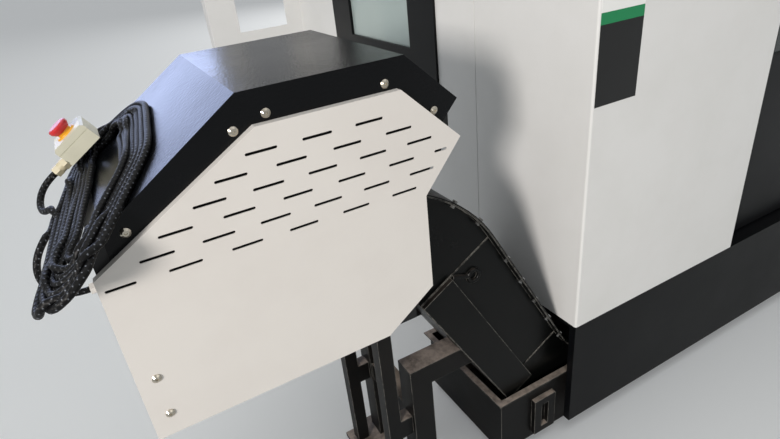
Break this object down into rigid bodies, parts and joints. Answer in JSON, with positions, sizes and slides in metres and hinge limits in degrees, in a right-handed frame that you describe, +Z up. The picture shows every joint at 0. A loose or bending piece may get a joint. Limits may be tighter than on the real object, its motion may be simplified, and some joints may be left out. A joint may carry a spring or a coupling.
{
  "type": "cnc machining center",
  "caption": "Vertical machining centre in a white and black enclosure with a side-exit chip conveyor whose slotted guard and black cover stand at its left.",
  "frame": {"origin": "on the floor under the middle of the machine with its conveyor, tank and panel, the cable left out", "axes": "+X to the machine's right seen from its front, +Y towards its rear, +Z up"},
  "size_m": [3.732, 2.229, 2.525],
  "materials": {
    "white_paint": "satin",
    "black_paint": "gloss",
    "casting_paint": "satin",
    "cast_iron": "matte",
    "steel": "satin",
    "nickel": "polished",
    "dark_steel": "satin",
    "motor_black": "satin",
    "motor_blue": "satin",
    "window": "clear",
    "tinted": "clear",
    "panel_grey": "satin",
    "screen": "gloss",
    "red_plastic": "gloss",
    "yellow_plastic": "gloss",
    "black_plastic": "matte",
    "ivory_plastic": "satin",
    "cream_plastic": "satin",
    "braid": "matte"
  },
  "bodies": {
    "machine": {"bed": "cast_iron", "feet": "dark_steel", "base_skirt": "black_paint", "column": "casting_paint", "fixed_rails": "steel", "axis_motors": "motor_black", "left_front_panel": "white_paint", "left_side_panel": "white_paint", "side_window_frame": "black_paint", "side_window_glass": "window", "right_front_panel": "white_paint", "right_side_panel": "white_paint", "door_header": "white_paint", "roof": "white_paint", "rear_side_frame": "white_paint", "chip_trays": "dark_steel", "panel_arm": "panel_grey", "cabinet": "white_paint", "coolant_tank": "black_paint", "coolant_pumps": "motor_blue", "conveyor_trough": "black_paint", "trough_cover": "black_paint", "trough_bolts": "dark_steel", "head_housing": "white_paint", "head_cover": "black_paint", "cover_screws": "nickel", "guard_panel": "white_paint", "gearmotor": "motor_blue", "drive_chain": "dark_steel", "conveyor_belt": "dark_steel", "conveyor_stand": "black_paint", "stop_box": "ivory_plastic", "stop_collar": "yellow_plastic", "cable_gland": "cream_plastic", "cable_tube": "braid", "cable_coil": "braid"},
    "left_door": {"left_door": "black_paint", "left_door_glass": "tinted"},
    "right_door": {"right_door": "black_paint", "right_door_glass": "tinted"},
    "saddle": {"saddle": "cast_iron", "saddle_rails": "steel"},
    "x_screw": {"x_screw": "steel"},
    "y_screw": {"y_screw": "steel"},
    "z_screw": {"z_screw": "steel"},
    "table": {"table": "steel"},
    "head": {"spindle_head": "casting_paint", "spindle_motor": "motor_black"},
    "spindle": {"spindle": "steel"},
    "changer_carriage": {"changer_carriage": "casting_paint"},
    "changer_disc": {"changer_disc": "steel"},
    "panel": {"panel_housing": "panel_grey", "panel_screen": "screen"},
    "panel_stop": {"panel_stop": "red_plastic"},
    "panel_knob": {"panel_knob": "black_plastic"},
    "cabinet_door": {"cabinet_door": "white_paint"},
    "motor_sprocket": {"motor_sprocket": "steel"},
    "drive_shaft": {"drive_shaft": "steel"},
    "tail_shaft": {"tail_shaft": "steel"},
    "stop_button": {"stop_button": "red_plastic"}
  },
  "joints": [
    {"name": "left_door_slide", "type": "slide", "parent": "machine", "child": "left_door", "axis": [-1, 0, 0], "range_m": [0, 0.4]},
    {"name": "right_door_slide", "type": "slide", "parent": "machine", "child": "right_door", "axis": [1, 0, 0], "range_m": [0, 0.4]},
    {"name": "saddle_slide", "type": "slide", "parent": "machine", "child": "saddle", "axis": [0, 1, 0], "range_m": [-0.25, 0.25]},
    {"name": "table_slide", "type": "slide", "parent": "saddle", "child": "table", "axis": [1, 0, 0], "range_m": [-0.4, 0.4]},
    {"name": "head_slide", "type": "slide", "parent": "machine", "child": "head", "axis": [0, 0, 1], "range_m": [-0.5, 0]},
    {"name": "spindle_turn", "type": "hinge", "parent": "head", "child": "spindle", "pos_m": [0.3545, -0.199, 1.6], "axis": [0, 0, 1], "continuous": true},
    {"name": "y_screw_turn", "type": "hinge", "parent": "machine", "child": "y_screw", "pos_m": [0.3545, -0.159, 0.5], "axis": [0, 1, 0], "range_deg": [-4502, 4502]},
    {"name": "z_screw_turn", "type": "hinge", "parent": "machine", "child": "z_screw", "pos_m": [0.3545, 0.323, 1.6], "axis": [0, 0, 1], "range_deg": [-9002, 2]},
    {"name": "x_screw_turn", "type": "hinge", "parent": "saddle", "child": "x_screw", "pos_m": [0.3545, -0.199, 0.69], "axis": [1, 0, 0], "range_deg": [-7203, 7203]},
    {"name": "changer_slide", "type": "slide", "parent": "machine", "child": "changer_carriage", "axis": [1, 0, 0], "range_m": [0, 0.32]},
    {"name": "changer_turn", "type": "hinge", "parent": "changer_carriage", "child": "changer_disc", "pos_m": [-0.2155, -0.199, 1.44], "axis": [0, 0, 1], "continuous": true},
    {"name": "panel_swing", "type": "hinge", "parent": "machine", "child": "panel", "pos_m": [1.3945, -1.034, 1.4], "axis": [0, 0, 1], "range_deg": [0, 80]},
    {"name": "panel_stop_press", "type": "slide", "parent": "panel", "child": "panel_stop", "axis": [0, 1, 0], "range_m": [0, 0.004]},
    {"name": "panel_knob_turn", "type": "hinge", "parent": "panel", "child": "panel_knob", "pos_m": [1.1245, -1.094, 1.13], "axis": [0, -1, 0], "range_deg": [-135, 135]},
    {"name": "cabinet_door_swing", "type": "hinge", "parent": "machine", "child": "cabinet_door", "pos_m": [-0.3025, 1.095, 1.095], "axis": [0, 0, 1], "range_deg": [0, 110]},
    {"name": "drive_shaft_turn", "type": "hinge", "parent": "machine", "child": "drive_shaft", "pos_m": [-1.6455, -0.759, 0.85], "axis": [0, 1, 0], "continuous": true},
    {"name": "motor_sprocket_turn", "type": "hinge", "parent": "machine", "child": "motor_sprocket", "pos_m": [-1.5405, -0.899, 1.04], "axis": [0, 1, 0], "continuous": true},
    {"name": "tail_shaft_turn", "type": "hinge", "parent": "machine", "child": "tail_shaft", "pos_m": [1.2345, -0.759, 0.15], "axis": [0, 1, 0], "continuous": true},
    {"name": "stop_button_press", "type": "slide", "parent": "machine", "child": "stop_button", "axis": [0.5555, 0, -0.8315], "range_m": [0, 0.004]}
  ],
  "couplings": [
    {"joint": "y_screw_turn", "follows": "saddle_slide", "rad_per_m": 314.16},
    {"joint": "z_screw_turn", "follows": "head_slide", "rad_per_m": 314.16},
    {"joint": "x_screw_turn", "follows": "table_slide", "rad_per_m": 314.16},
    {"joint": "motor_sprocket_turn", "follows": "drive_shaft_turn", "ratio": 1.5},
    {"joint": "tail_shaft_turn", "follows": "drive_shaft_turn", "ratio": 1}
  ]
}
